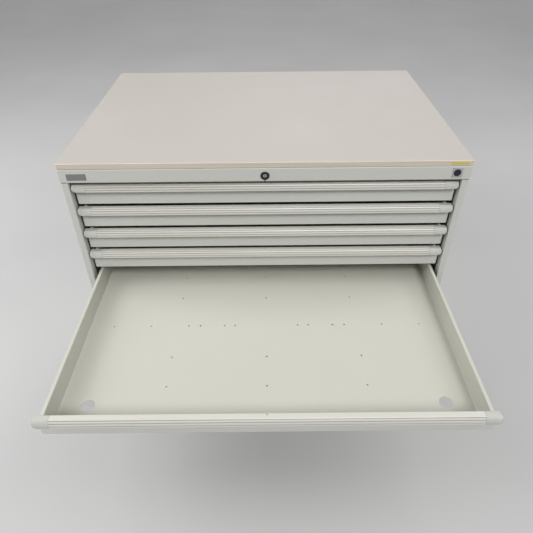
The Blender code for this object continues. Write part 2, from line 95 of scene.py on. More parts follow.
# ---- drawer, from its front plane and its top plane ----
PANEL_RECESS = TRAY_LOW.y - FRONT
PANEL_HALF = TRAY_HIGH.x
PANEL_RETURN = 0.0055
PANEL_ROLL = 0.003
DRAWER_HEIGHT = TRAY_HIGH.z - TRAY_LOW.z
RIM_WIDTH = 0.0093
RIM_LIP = 0.009
RIM_BEND = 0.0018
TRAY_HALF = 0.5055
TRAY_FRONT = 0.0222
TRAY_BACK = TRAY_HIGH.y - TRAY_LOW.y + PANEL_RECESS - RIM_WIDTH
TRAY_DROP = 0.061
FLOOR_BEND = 0.0025
BIG_HOLE_RADIUS = 0.0165
BIG_HOLE_X = 0.438
BIG_HOLE_FORWARD = 0.271
PEG_RADIUS = 0.0025
PEG_SIDES = 20
PEG_ROW_X = (0.090, 0.1205, 0.190, 0.2235, 0.332, 0.438)
PEG_COLUMN_X = 0.255
PEG_COLUMN_Y = (0.118, 0.216)

# ---- grip profile and its end caps ----
GRIP_FRONT = CAP_LOW.y - FRONT
GRIP_DEPTH = CAP_HIGH.y - FRONT
GRIP_DROP = CAP_HIGH.z - CAP_LOW.z
GRIP_SKIN = 0.002
RIDGE = 0.0126
FACE_BULGE = 0.0022
GROOVES = ((0.09, 0.19), (0.37, 0.49), (0.70, 0.81))
GROOVE_DEPTH = 0.0016
FLANK = 0.025
CREST_RADIUS = 0.0004
ROOT_RADIUS = 0.00025
LIP_THICKNESS = 0.0026
LIP_RADIUS = 0.0007
LEG_FRONT = 0.0177
LEG_FOOT = GRIP_DROP - 0.003
LEG_TOP_ROUND = 0.0005
LEG_ROUND = 0.0004
STEP_ROUND = 0.0003
RIB_STEPS = 5
LIP_STEPS = 10
CAP_END = -CAP_LOW.x
CAP_INNER = -CAP_HIGH.x
CAP_ROUND = 0.011
CAP_TOP_ROUND = 0.0010
CAP_ROUND_SHARE = 0.97
CAP_EDGE_ROUND = 0.0005
CAP_RIDGE_ROUND = 0.001
CAP_STEPS = 14
SEAM_BREAK = 0.0003
CATCH_HOLE_RADIUS = 0.0022
CATCH_HOLE_BACK = 0.0035

# ---- runners ----
RUNNER_SHEET = 0.0015
RUNNER_BEND = 0.002
SLOT_SHARES = (0.12, 0.37, 0.63, 0.88)
SLOT_HALF_LENGTH = 0.009
SLOT_HALF_HEIGHT = 0.0028
SLOT_ROUND = 0.0027

# ---- plates: middles as (across, up), and sizes ----
NAME_SPOT = (-0.5032, 0.7115)
NAME_SIZE = (0.052, 0.0180)
NAME_RIM = 0.0014
BADGE_SPOT = (0.5115, 0.7148)
BADGE_SIDE = 0.0275
BADGE_DISC = 0.0200
LABEL_SPOT = (0.5135, 0.7428)
LABEL_SIZE = (0.051, 0.0100)
LABEL_MARGIN = 0.0030
PLATE_CORNER = 0.001
NAME_RIM_RISE = 0.0007
NAME_FIELD_RISE = 0.0010
BADGE_RISE = 0.0008
BADGE_DISC_RISE = 0.0011
LABEL_RISE = 0.0004
STRIPE_RISE = 0.0006

# ---- lock, from the front plane ----
LOCK_HEIGHT = (BEZEL_LOW.z + BEZEL_HIGH.z) / 2
BEZEL_RADIUS = (BEZEL_HIGH.z - BEZEL_LOW.z) / 2
BEZEL_RISE = FRONT - BEZEL_LOW.y
BARREL_REAR = BEZEL_HIGH.y - FRONT
BARREL_RADIUS = 0.009
LOCK_BORE = BARREL_RADIUS + GAP
LOCK_SLIT = 0.0026
PLUG_RADIUS = 0.0062
PLUG_WINDOW = 0.0052
PLUG_SETBACK = 0.0016
PLUG_LENGTH = 0.0278
SHAFT_RADIUS = 0.004
CRANK_RADIUS = PLUG_HIGH.z - LOCK_HEIGHT
CRANK_THICKNESS = 0.004
CRANK_THROW = 0.0038
PIN_RADIUS = 0.0015
PIN_REACH = 0.004
KEYWAY_HALF = 0.0011
KEYWAY_TALL = 0.0036
KEYWAY_DEPTH = 0.010

# ---- stage: suns as (name, heading, strength, spread), lamps as (name, spot, side, watts) ----
SUNS = (
    ("key_light", (-0.6, 2.6, -2.7), 1.93, 20),
    ("rear_light", (-0.4, -3.0, -1.8), 0.25, 30),
)
LAMPS = (
    ("right_light", (2.4, -0.6, 3.1), 2.6, 50),
    ("left_light", (-2.4, -0.6, 3.1), 2.6, 47),
    ("right_low_light", (3.2, -0.6, 2.2), 2.4, 20),
    ("left_low_light", (-3.2, -0.6, 2.2), 2.4, 71),
)
LAMP_AIM = (0, -0.3, 0.5)
ROOM_COLOUR = (0.97, 0.985, 1.0, 1.0)
ROOM_STRENGTH = 0.18
SENSOR_WIDTH = 36.0
LENS = 33.216
CAMERA_SPOT = (0.0018, -1.566, 1.330)
CAMERA_TILT = radians(51.85)
CAMERA_ROLL = radians(-0.548)


# ---------------------------------------------------------------- plane outlines
def turn_between(first, second):
    """Signed angle from one plane vector to another, anticlockwise positive."""
    cross = first.x * second.y - first.y * second.x
    return atan2(cross, first.dot(second))


def round_corner(before, corner, after, radius):
    """Arc that replaces a corner of an outline."""
    back = (before - corner).normalized()
    ahead = (after - corner).normalized()
    half = back.angle(ahead) / 2
    centre = corner + (back + ahead).normalized() * (radius / sin(half))
    reach = radius / tan(half)
    first = corner + back * reach - centre
    turn = turn_between(first, corner + ahead * reach - centre)
    steps = max(2, round(abs(turn) / ARC_STEP))
    return [centre + Matrix.Rotation(turn * step / steps, 2) @ first for step in range(steps + 1)]


def outline(corners, closed=True):
    """Plane outline from (across, up, radius) corners."""
    spots = [Vector(corner[:2]) for corner in corners]
    points = []
    for index, (spot, corner) in enumerate(zip(spots, corners)):
        inner = closed or 0 < index < len(corners) - 1
        if corner[2] and inner:
            after = spots[(index + 1) % len(spots)]
            points.extend(round_corner(spots[index - 1], spot, after, corner[2]))
        else:
            points.append(spot)
    return points


def sheet_outline(corners, thickness=SHEET):
    """Closed outline of bent sheet: the corners give one face, and the metal lies to their right."""
    face = outline(corners, closed=False)
    other = []
    for index, here in enumerate(face):
        normals = []
        if index > 0:
            run = (here - face[index - 1]).normalized()
            normals.append(Vector((run.y, -run.x)))
        if index < len(face) - 1:
            run = (face[index + 1] - here).normalized()
            normals.append(Vector((run.y, -run.x)))
        mean = sum(normals, Vector((0, 0))).normalized()
        other.append(here + mean * (thickness / mean.dot(normals[0])))
    return [*face, *reversed(other)]


def block_outline(low, high, radius):
    """Rectangle with round corners."""
    spots = [(low[0], low[1]), (high[0], low[1]), (high[0], high[1]), (low[0], high[1])]
    return outline([(*spot, radius) for spot in spots])


def face_circle():
    """Middle and radius of the arc that the grip's bulging face follows, from ridge to lip."""
    ridge = Vector((RIDGE, 0))
    lip = Vector((GRIP_FRONT, -GRIP_DROP))
    chord = lip - ridge
    radius = (chord.length_squared / 4 + FACE_BULGE**2) / (2 * FACE_BULGE)
    outward = Vector((chord.y, -chord.x)).normalized()
    return (ridge + lip) / 2 - outward * (radius - FACE_BULGE), radius


def face_spot(share, depth=0.0):
    """Spot on the grip's face: a share of the way from ridge to lip, and a depth behind the face."""
    centre, radius = face_circle()
    first = Vector((RIDGE, 0)) - centre
    last = Vector((GRIP_FRONT, -GRIP_DROP)) - centre
    ray = Matrix.Rotation(turn_between(first, last) * share, 2) @ first
    return tuple(centre + ray.normalized() * (radius - depth))


# ---------------------------------------------------------------- solids
def place(axis, along, point):
    """Space point for a section point: (Y, Z) along X, (X, Z) along Y or (X, Y) along Z."""
    if axis == "X":
        return (along, point[0], point[1])
    if axis == "Y":
        return (point[0], along, point[1])
    return (point[0], point[1], along)


def smooth(mesh, angle=32):
    """Round where neighbouring faces meet gently, sharp elsewhere."""
    mesh.shade_smooth()
    mesh.set_sharp_from_angle(angle=radians(angle))


def to_piece(name, shape, surface):
    """Object from a bmesh, with its faces turned outwards."""
    bmesh.ops.recalc_face_normals(shape, faces=shape.faces)
    mesh = bpy.data.meshes.new(name)
    shape.to_mesh(mesh)
    shape.free()
    mesh.materials.append(surface)
    smooth(mesh)
    piece = bpy.data.objects.new(name, mesh)
    bpy.context.scene.collection.objects.link(piece)
    return piece


def extruded(name, points, axis, start, stop, surface):
    """Straight bar with a closed outline."""
    shape = bmesh.new()
    ring = [shape.verts.new(place(axis, start, point)) for point in points]
    face = shape.faces.new(ring)
    grown = bmesh.ops.extrude_face_region(shape, geom=[face])
    moved = [part for part in grown["geom"] if isinstance(part, bmesh.types.BMVert)]
    bmesh.ops.translate(shape, vec=place(axis, stop - start, (0, 0)), verts=moved)
    return to_piece(name, shape, surface)


def block(name, low, high, surface, radius=0.0, segments=3):
    """Block between two corners, with every edge rounded where a radius is given."""
    shape = bmesh.new()
    bmesh.ops.create_cube(shape, size=1.0)
    bmesh.ops.scale(shape, vec=Vector(high) - Vector(low), verts=shape.verts)
    bmesh.ops.translate(shape, vec=(Vector(high) + Vector(low)) / 2, verts=shape.verts)
    if radius:
        bmesh.ops.bevel(
            shape, geom=shape.edges, offset=radius, segments=segments, profile=0.5, affect="EDGES"
        )
    return to_piece(name, shape, surface)


def rod(name, radius, start, length, axis, surface, sides=48):
    """Round bar along an axis, mostly used as a drill."""
    shape = bmesh.new()
    bmesh.ops.create_cone(
        shape, cap_ends=True, segments=sides, radius1=radius, radius2=radius, depth=length
    )
    bmesh.ops.translate(shape, vec=(0, 0, length / 2), verts=shape.verts)
    turn = Vector((0, 0, 1)).rotation_difference(Vector(axis)).to_matrix()
    bmesh.ops.rotate(shape, cent=(0, 0, 0), matrix=turn, verts=shape.verts)
    bmesh.ops.translate(shape, vec=start, verts=shape.verts)
    return to_piece(name, shape, surface)


def lathe(name, profile, surface, ring=False, sides=64):
    """Turned body about the Y axis; the profile is (distance back, radius), closed on itself for a ring."""
    shape = bmesh.new()
    spots = [shape.verts.new((radius, along, 0)) for along, radius in profile]
    pairs = list(zip(spots, spots[1:]))
    if ring:
        pairs.append((spots[-1], spots[0]))
    edges = [shape.edges.new(pair) for pair in pairs]
    bmesh.ops.spin(
        shape, geom=spots + edges, cent=(0, 0, 0), axis=(0, 1, 0), angle=2 * pi, steps=sides, use_merge=True
    )
    bmesh.ops.remove_doubles(shape, verts=shape.verts, dist=0.000001)
    return to_piece(name, shape, surface)


def carve(target, tools, operation):
    """Cut or join with other bodies, which are used up."""
    for tool in tools:
        step = target.modifiers.new("Boolean", "BOOLEAN")
        step.operation = operation
        step.solver = "EXACT"
        step.object = tool
    graph = bpy.context.evaluated_depsgraph_get()
    baked = bpy.data.meshes.new_from_object(target.evaluated_get(graph))
    target.modifiers.clear()
    target.data = baked
    for tool in tools:
        bpy.data.objects.remove(tool, do_unlink=True)
    shape = bmesh.new()
    shape.from_mesh(baked)
    bmesh.ops.remove_doubles(shape, verts=shape.verts, dist=0.000005)
    bmesh.ops.dissolve_limit(shape, angle_limit=radians(0.1), verts=shape.verts, edges=shape.edges)
    shape.to_mesh(baked)
    shape.free()
    smooth(baked)
    return target


def soften(piece, width=0.0003, segments=2):
    """Break the cut edges and keep the flats flat in shading."""
    edges = piece.modifiers.new("Arrises", "BEVEL")
    edges.limit_method = "ANGLE"
    edges.angle_limit = radians(40)
    edges.width = width
    edges.segments = segments
    return flatten(piece)


def flatten(piece):
    """Let the large faces set the shading normals."""
    normals = piece.modifiers.new("Normals", "WEIGHTED_NORMAL")
    normals.keep_sharp = True
    normals.weight = 90
    return piece


def mirrored(name, piece):
    """The same piece on the other side of the cabinet's middle plane."""
    shape = bmesh.new()
    shape.from_mesh(piece.data)
    bmesh.ops.scale(shape, vec=(-1, 1, 1), verts=shape.verts)
    bmesh.ops.reverse_faces(shape, faces=shape.faces)
    return to_piece(name, shape, piece.data.materials[0])


# ---------------------------------------------------------------- materials
class Surface:
    """One node material, with short calls for the textures used here; scales are features per metre."""

    def __init__(self, name, roughness, metallic=0.0):
        self.material = bpy.data.materials.new(name)
        self.material.use_nodes = True
        self.tree = self.material.node_tree
        self.shader = self.tree.nodes["Principled BSDF"]
        self.shader.inputs["Roughness"].default_value = roughness
        self.shader.inputs["Metallic"].default_value = metallic
        coordinates = self.add("ShaderNodeTexCoord")
        own = self.add("ShaderNodeObjectInfo")
        shift = self.add("ShaderNodeVectorMath", operation="SCALE")
        shift.inputs["Scale"].default_value = 7.0
        self.link(own.outputs["Random"], shift.inputs[0])
        moved = self.add("ShaderNodeVectorMath", operation="ADD")
        self.link(coordinates.outputs["Object"], moved.inputs[0])
        self.link(shift.outputs["Vector"], moved.inputs[1])
        self.spot = coordinates.outputs["Object"]
        self.place = moved.outputs["Vector"]

    def add(self, kind, **settings):
        node = self.tree.nodes.new(kind)
        for key, value in settings.items():
            setattr(node, key, value)
        return node

    def link(self, source, target):
        self.tree.links.new(source, target)

    def stretched(self, stretch):
        """Coordinates pulled out along an axis, for brushed or drawn marks."""
        mapping = self.add("ShaderNodeMapping")
        mapping.inputs["Scale"].default_value = stretch
        self.link(self.place, mapping.inputs["Vector"])
        return mapping.outputs["Vector"]

    def noise(self, scale, detail=2.0, stretch=None):
        node = self.add("ShaderNodeTexNoise")
        node.inputs["Scale"].default_value = scale
        node.inputs["Detail"].default_value = detail
        self.link(self.stretched(stretch) if stretch else self.place, node.inputs["Vector"])
        return node.outputs["Fac"]

    def remap(self, value, low, high, first=0.0, last=1.0):
        """Stretch part of a value's range onto another, clamped."""
        node = self.add("ShaderNodeMapRange")
        node.inputs["From Min"].default_value = low
        node.inputs["From Max"].default_value = high
        node.inputs["To Min"].default_value = first
        node.inputs["To Max"].default_value = last
        self.link(value, node.inputs["Value"])
        return node.outputs["Result"]

    def times(self, first, second):
        node = self.add("ShaderNodeMath", operation="MULTIPLY")
        self.link(first, node.inputs[0])
        self.link(second, node.inputs[1])
        return node.outputs["Value"]

    def along(self, axis):
        """The piece's own coordinate along X, Y or Z."""
        node = self.add("ShaderNodeSeparateXYZ")
        self.link(self.spot, node.inputs["Vector"])
        return node.outputs[axis]

    def from_axis(self, spot):
        """Distance from a line along X through a (Y, Z) spot of the piece."""
        flat = self.add("ShaderNodeVectorMath", operation="MULTIPLY")
        flat.inputs[1].default_value = (0, 1, 1)
        self.link(self.spot, flat.inputs[0])
        away = self.add("ShaderNodeVectorMath", operation="DISTANCE")
        away.inputs[1].default_value = (0, *spot)
        self.link(flat.outputs["Vector"], away.inputs[0])
        return away.outputs["Value"]

    def blend(self, share, first, second):
        """Colour between two, each given as numbers or as another node's output."""
        node = self.add("ShaderNodeMix", data_type="RGBA")
        self.link(share, node.inputs["Factor"])
        for socket, colour in ((node.inputs[6], first), (node.inputs[7], second)):
            if isinstance(colour, tuple):
                socket.default_value = (*colour, 1.0)
            else:
                self.link(colour, socket)
        return node.outputs[2]

    def shade(self, colour, share, first, last):
        """A colour made darker or lighter between two factors."""
        factor = self.remap(share, 0.0, 1.0, first, last)
        node = self.add("ShaderNodeVectorMath", operation="SCALE")
        if isinstance(colour, tuple):
            node.inputs[0].default_value = colour
        else:
            self.link(colour, node.inputs[0])
        self.link(factor, node.inputs["Scale"])
        return node.outputs["Vector"]

    def paint(self, colour):
        self.link(colour, self.shader.inputs["Base Color"])

    def rough(self, value):
        self.link(value, self.shader.inputs["Roughness"])

    def relief(self, height, distance, strength=1.0, below=None):
        """Bump by a height texture, on top of another bump where one is given."""
        node = self.add("ShaderNodeBump")
        node.inputs["Distance"].default_value = distance
        node.inputs["Strength"].default_value = strength
        self.link(height, node.inputs["Height"])
        if below:
            self.link(below, node.inputs["Normal"])
        self.link(node.outputs["Normal"], self.shader.inputs["Normal"])
        return node.outputs["Normal"]


def tinted(colour, factor):
    return tuple(channel * factor for channel in colour)


def enamel(name, colour, roughness=0.4, front_colour=None):
    """Baked enamel on sheet steel: orange peel, a faint cloudiness and a little dust.

    A drawer's front panel may have a colour of its own, which ends just behind its outer skin.
    """
    surface = Surface(name, roughness)
    base = colour
    if front_colour:
        behind = surface.remap(surface.along("Y"), PANEL_RECESS + SHEET, PANEL_RECESS + SHEET + GAP)
        base = surface.blend(behind, front_colour, colour)
    cloud = surface.remap(surface.noise(2.5, 3.0), 0.3, 0.7)
    clouded = surface.shade(base, cloud, 0.985, 1.015)
    speck = surface.remap(surface.noise(420.0, 2.0), 0.66, 0.74)
    surface.paint(surface.shade(clouded, surface.times(speck, cloud), 1.0, 0.93))
    surface.rough(surface.remap(surface.noise(9.0, 4.0), 0.3, 0.7, roughness - 0.05, roughness + 0.06))
    sheet = surface.relief(surface.noise(3.0, 1.0), 0.0006, 0.35)
    surface.relief(surface.noise(380.0, 2.0), 0.00008, 0.5, sheet)
    return surface.material


def laminate():
    """Light laminate of the worktop, with a very fine print and faint rubbed patches."""
    colour = (0.435, 0.404, 0.377)
    surface = Surface("laminate_top", 0.5)
    cloud = surface.remap(surface.noise(1.8, 3.0), 0.3, 0.7)
    base = surface.blend(cloud, tinted(colour, 0.975), tinted(colour, 1.02))
    grain = surface.remap(surface.noise(600.0, 3.0), 0.35, 0.65)
    print_colour = surface.blend(grain, tinted(colour, 0.96), tinted(colour, 1.03))
    share = surface.remap(surface.noise(40.0, 2.0), 0.2, 0.8, 0.25, 0.6)
    surface.paint(surface.blend(share, base, print_colour))
    surface.rough(surface.remap(surface.noise(6.0, 4.0), 0.3, 0.7, 0.42, 0.55))
    surface.relief(surface.noise(900.0, 2.0), 0.00005, 0.4)
    return surface.material


def edge_plastic():
    """Tan plastic edging strip with faint lengthwise drawing marks."""
    colour = (0.546, 0.486, 0.411)
    surface = Surface("edge_strip", 0.45)
    drawn = surface.remap(surface.noise(260.0, 2.0, (0.02, 0.02, 1.0)), 0.3, 0.7)
    surface.paint(surface.blend(drawn, tinted(colour, 0.94), tinted(colour, 1.05)))
    surface.rough(surface.remap(surface.noise(14.0, 3.0), 0.3, 0.7, 0.38, 0.52))
    surface.relief(drawn, 0.00006, 0.5)
    return surface.material


def grip_coat():
    """Off-white powder coat of the grips, smoother where hands pull, with painted shade darkening the
    grooves.
    """
    colour = (0.528, 0.520, 0.474)
    surface = Surface("grip_coat", 0.36)
    centre, radius = face_circle()
    root = radius - GROOVE_DEPTH
    brow = radius - GROOVE_DEPTH / 3
    # painted shade: the colour is darkened towards the groove floors on the grip's face, where shade falls
    # in the recesses
    sunk = surface.remap(surface.from_axis(centre), root, brow, 1.0, 0.0)
    below_top = surface.remap(surface.along("Z"), -GRIP_SKIN, -GRIP_SKIN / 2, 1.0, 0.0)
    painted_groove_shade = surface.times(sunk, below_top)
    cloud = surface.remap(surface.noise(5.0, 3.0, (0.3, 1.0, 1.0)), 0.3, 0.7)
    clouded = surface.blend(cloud, tinted(colour, 0.98), tinted(colour, 1.02))
    surface.paint(surface.shade(clouded, painted_groove_shade, 1.0, 0.62))
    surface.rough(surface.remap(surface.noise(12.0, 3.0, (0.3, 1.0, 1.0)), 0.3, 0.7, 0.3, 0.42))
    surface.relief(surface.noise(420.0, 2.0), 0.00006, 0.5)
    return surface.material


def cap_plastic():
    """Moulded end caps with a fine spark-eroded grain."""
    colour = (0.432, 0.432, 0.400)
    surface = Surface("moulded_cap", 0.5)
    cloud = surface.remap(surface.noise(30.0, 3.0), 0.3, 0.7)
    surface.paint(surface.blend(cloud, tinted(colour, 0.97), tinted(colour, 1.02)))
    surface.rough(surface.remap(surface.noise(60.0, 2.0), 0.3, 0.7, 0.44, 0.56))
    surface.relief(surface.noise(1500.0, 2.0), 0.00008, 0.6)
    return surface.material


def zinc():
    """Bright zinc plate, with passivation tints and drawing marks."""
    surface = Surface("zinc_plate", 0.34, 1.0)
    tint = surface.remap(surface.noise(14.0, 3.0), 0.3, 0.7)
    surface.paint(surface.blend(tint, (0.56, 0.57, 0.60), (0.63, 0.61, 0.54)))
    drawn = surface.noise(500.0, 2.0, (1.0, 0.02, 1.0))
    surface.rough(surface.remap(drawn, 0.3, 0.7, 0.26, 0.42))
    surface.relief(drawn, 0.00005, 0.3)
    return surface.material


def nickel(name, colour, roughness):
    """Turned metal with fine rings of tool marks."""
    surface = Surface(name, roughness, 1.0)
    rings = surface.noise(900.0, 2.0)
    surface.paint(surface.blend(rings, tinted(colour, 0.93), tinted(colour, 1.07)))
    surface.rough(surface.remap(rings, 0.3, 0.7, roughness - 0.06, roughness + 0.08))
    surface.relief(rings, 0.00003, 0.3)
    return surface.material


def plate_metal(name, colour):
    """Brushed blank plate."""
    surface = Surface(name, 0.4, 0.6)
    brushed = surface.noise(900.0, 2.0, (0.03, 1.0, 1.0))
    surface.paint(surface.blend(brushed, tinted(colour, 0.85), tinted(colour, 1.15)))
    surface.rough(surface.remap(brushed, 0.3, 0.7, 0.32, 0.5))
    surface.relief(brushed, 0.00004, 0.4)
    return surface.material


def label_paper(name, colour):
    """Printed paper without lettering."""
    surface = Surface(name, 0.6)
    fibre = surface.noise(800.0, 3.0)
    surface.paint(surface.blend(fibre, tinted(colour, 0.9), tinted(colour, 1.1)))
    surface.relief(fibre, 0.00003, 0.4)
    return surface.material


def floor_paint():
    """Plain pale studio floor."""
    surface = Surface("studio_floor", 0.7)
    cloud = surface.remap(surface.noise(1.2, 3.0), 0.3, 0.7)
    surface.paint(surface.blend(cloud, (0.43, 0.43, 0.43), (0.46, 0.46, 0.455)))
    surface.relief(surface.noise(120.0, 2.0), 0.0002, 0.2)
    return surface.material


BODY_ENAMEL = enamel("body_enamel_coat", (0.505, 0.510, 0.478))
TRAY_ENAMEL = enamel("tray_enamel_coat", (0.475, 0.471, 0.415), 0.44, (0.551, 0.557, 0.527))
PLINTH_ENAMEL = enamel("plinth_enamel_coat", (0.050, 0.050, 0.052), 0.5)
LAMINATE = laminate()
EDGE_STRIP = edge_plastic()
GRIP_COAT = grip_coat()
CAP_PLASTIC = cap_plastic()
ZINC = zinc()
LOCK_METAL = nickel("lock_nickel_face", (0.52, 0.52, 0.48), 0.32)
DARK_RING = nickel("lock_dark_ring", (0.055, 0.055, 0.055), 0.3)
PLATE_METAL = plate_metal("plate_grey", (0.26, 0.255, 0.25))
PLATE_EDGE = plate_metal("plate_dark_edge", (0.17, 0.165, 0.16))
BADGE_METAL = plate_metal("badge_silver", (0.42, 0.42, 0.44))
LABEL_GROUND = label_paper("label_cream", (0.58, 0.54, 0.42))
LABEL_STRIPE = label_paper("label_yellow", (0.52, 0.43, 0.10))


# ---------------------------------------------------------------- fitting to the frame
def fit(piece, body, slot, *nodes):
    """Let a finished piece ride on a body and stand for CAD nodes; the slot it is given is not used."""
    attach(piece, body)
    if nodes:
        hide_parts(*nodes)
    return piece


def repaint(node, surface):
    """Give a CAD node that stays in view a finished material."""
    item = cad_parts[node]
    item.data.materials.clear()
    item.data.materials.append(surface)


# ---------------------------------------------------------------- cabinet body
def make_top_board():
    low = (TOP_LOW.x + BAND, TOP_LOW.y + BAND, TOP_LOW.z)
    high = (TOP_HIGH.x - BAND, TOP_HIGH.y - BAND, TOP_HIGH.z)
    board = block("top_board", low, high, LAMINATE)
    return fit(soften(board, 0.0002, 2), "cabinet", "laminate", "worktop")


def make_edge_band():
    """Strip round the board with rounded arrises."""
    inner = BAND - BOARD_GAP
    low = (TOP_LOW.x + inner, TOP_LOW.y + inner)
    high = (TOP_HIGH.x - inner, TOP_HIGH.y - inner)
    path = block_outline(low, high, BAND_CORNER - inner)
    section = outline(
        [
            (0, TOP_LOW.z, 0),
            (inner, TOP_LOW.z, BAND_ARRIS),
            (inner, TOP_HIGH.z, BAND_ARRIS),
            (0, TOP_HIGH.z, 0),
        ]
    )
    shape = bmesh.new()
    rings = []
    for index, here in enumerate(path):
        before = (here - path[index - 1]).normalized()
        ahead = (path[(index + 1) % len(path)] - here).normalized()
        mean = (before + ahead).normalized()
        outward = Vector((mean.y, -mean.x)) / mean.dot(before)
        ring = []
        for across, up in section:
            spot = here + outward * across
            ring.append(shape.verts.new((spot.x, spot.y, up)))
        rings.append(ring)
    for first, second in zip(rings, rings[1:] + rings[:1]):
        for corner in range(len(section)):
            past = (corner + 1) % len(section)
            shape.faces.new((first[corner], first[past], second[past], second[corner]))
    band = to_piece("top_edge_band", shape, EDGE_STRIP)
    return fit(flatten(band), "cabinet", "laminate", "worktop")


def make_side_skins():
    """Side skins with folded front posts, notched where the header rail crosses them."""
    outside = SIDE_LOW.x
    post = SIDE_HIGH.x
    corners = [
        (post, FRONT + POST_LIP, 0),
        (post, FRONT, BEND),
        (outside, FRONT, BEND),
        (outside, SIDE_HIGH.y, BEND),
        (post, SIDE_HIGH.y, 0),
    ]
    left = extruded("side_skin_left", sheet_outline(corners), "Z", SIDE_LOW.z, SIDE_HIGH.z, BODY_ENAMEL)
    seam = HEADER_LOW.z - GAP
    above = SIDE_HIGH.z + PAST
    inside = outside + SHEET + GAP
    face_low = (outside - PAST, FRONT - PAST, seam)
    face_high = (post + PAST, FRONT + SHEET + GAP, above)
    lip_low = (inside, FRONT - PAST, seam)
    lip_high = (post + PAST, HEADER_HIGH.y + GAP, above)
    cuts = [
        block("face_cut", face_low, face_high, BODY_ENAMEL),
        block("lip_cut", lip_low, lip_high, BODY_ENAMEL),
    ]
    carve(left, cuts, "DIFFERENCE")
    right = mirrored("side_skin_right", left)
    for side, piece in (("left", left), ("right", right)):
        fit(flatten(piece), "cabinet", "body_enamel", f"{side}_side_panel")


def make_header():
    """Channel across the front, with the lock's hole and the slit under it."""
    reach = FRONT + HEADER_RETURN
    bottom = HEADER_LOW.z
    top = HEADER_HIGH.z
    corners = [
        (reach, bottom, 0),
        (FRONT, bottom, HEADER_BEND),
        (FRONT, top, HEADER_BEND),
        (reach, top, 0),
    ]
    ends = (HEADER_LOW.x, HEADER_HIGH.x)
    header = extruded("header_channel", sheet_outline(corners), "X", *ends, BODY_ENAMEL)
    inside = HEADER_HIGH.x - SHEET - GAP
    cuts = []
    for side in (-1, 1):
        ends = sorted((side * inside, side * (HEADER_HIGH.x + PAST)))
        low = (ends[0], FRONT + SHEET, bottom - PAST)
        high = (ends[1], reach + PAST, top + PAST)
        cuts.append(block("end_cut", low, high, BODY_ENAMEL))
    barrel = rod("lock_drill", LOCK_BORE, (0, FRONT - PAST, LOCK_HEIGHT), 2 * PAST, (0, 1, 0), BODY_ENAMEL)
    cuts.append(barrel)
    slit_low = (-LOCK_SLIT / 2, FRONT - PAST, bottom - PAST)
    slit_high = (LOCK_SLIT / 2, FRONT + PAST, LOCK_HEIGHT)
    cuts.append(block("slit", slit_low, slit_high, BODY_ENAMEL))
    carve(header, cuts, "DIFFERENCE")
    return fit(flatten(header), "cabinet", "body_enamel", "header_rail")


def make_floor_pan():
    """Cabinet floor with its folded front rail, notched behind the posts."""
    low = FLOOR_LOW
    high = FLOOR_HIGH
    corners = [(FRONT, low.z, 0), (FRONT, high.z, BEND), (high.y, high.z, BEND), (high.y, low.z, 0)]
    pan = extruded("floor_pan", sheet_outline(corners), "X", low.x, high.x, BODY_ENAMEL)
    cuts = []
    for side in (-1, 1):
        ends = sorted((side * (-SIDE_HIGH.x - GAP), side * (high.x + PAST)))
        first = (ends[0], FRONT - PAST, low.z - PAST)
        last = (ends[1], FRONT + POST_LIP + GAP, high.z + PAST)
        cuts.append(block("corner_cut", first, last, BODY_ENAMEL))
    carve(pan, cuts, "DIFFERENCE")
    return fit(flatten(pan), "cabinet", "body_enamel", "bottom_panel")


def make_plinth():
    """Welded base frame with round outer corners."""
    low = PLINTH_LOW
    high = PLINTH_HIGH
    outer = block_outline((low.x, low.y), (high.x, high.y), PLINTH_CORNER)
    base = extruded("base_frame", outer, "Z", low.z, high.z, PLINTH_ENAMEL)
    pockets = []
    for side in (-1, 1):
        ends = sorted((side * PLINTH_RAIL, side * (high.x - PLINTH_RAIL)))
        first = (ends[0], low.y + PLINTH_RAIL, low.z - PAST)
        last = (ends[1], high.y - PLINTH_RAIL, high.z + PAST)
        pockets.append(block("pocket", first, last, PLINTH_ENAMEL))
    carve(base, pockets, "DIFFERENCE")
    return fit(soften(base, 0.001, 3), "cabinet", "plinth_enamel", "plinth")


def screw_mesh():
    """Pan-head screw with a cross recess, its seat at Y = 0 and its head towards +Y."""
    profile = [(0.0, SCREW_HEAD)]
    for step in range(1, 7):
        angle = radians(15 * step)
        profile.append((SCREW_RISE * sin(angle), SCREW_HEAD * (1 - SCREW_CROWN * (1 - cos(angle)))))
    profile.append((SCREW_RISE, 0.0))
    head = lathe("screw_master", [(0.0, 0.0), *profile], ZINC, sides=32)
    arm = SCREW_ARM
    half = SCREW_ARM_HALF
    depth = SCREW_RECESS
    cross = [
        block("slot", (-arm, depth, -half), (arm, SCREW_RISE + PAST, half), ZINC),
        block("slot", (-half, depth, -arm), (half, SCREW_RISE + PAST, arm), ZINC),
    ]
    carve(head, cross, "DIFFERENCE")
    mesh = head.data
    bpy.data.objects.remove(head, do_unlink=True)
    return mesh


def make_back_screws():
    """Row of screws round the edge of the rear skin."""
    mesh = screw_mesh()
    inset = SCREW_INSET
    half = BACK_HIGH.x - inset
    spots = []
    for index in range(SCREW_COLUMNS):
        across = half * (2 * index / (SCREW_COLUMNS - 1) - 1)
        spots.append((across, BACK_LOW.z + inset))
        spots.append((across, BACK_HIGH.z - inset))
    tall = BACK_HIGH.z - BACK_LOW.z - 2 * inset
    for index in range(1, SCREW_ROWS):
        up = BACK_LOW.z + inset + tall * index / SCREW_ROWS
        spots.append((-half, up))
        spots.append((half, up))
    for number, (across, up) in enumerate(spots, 1):
        screw = bpy.data.objects.new(f"back_screw_{number:02d}", mesh)
        bpy.context.scene.collection.objects.link(screw)
        screw.location = (across, BACK_HIGH.y, up)
        fit(screw, "cabinet", "zinc_steel")


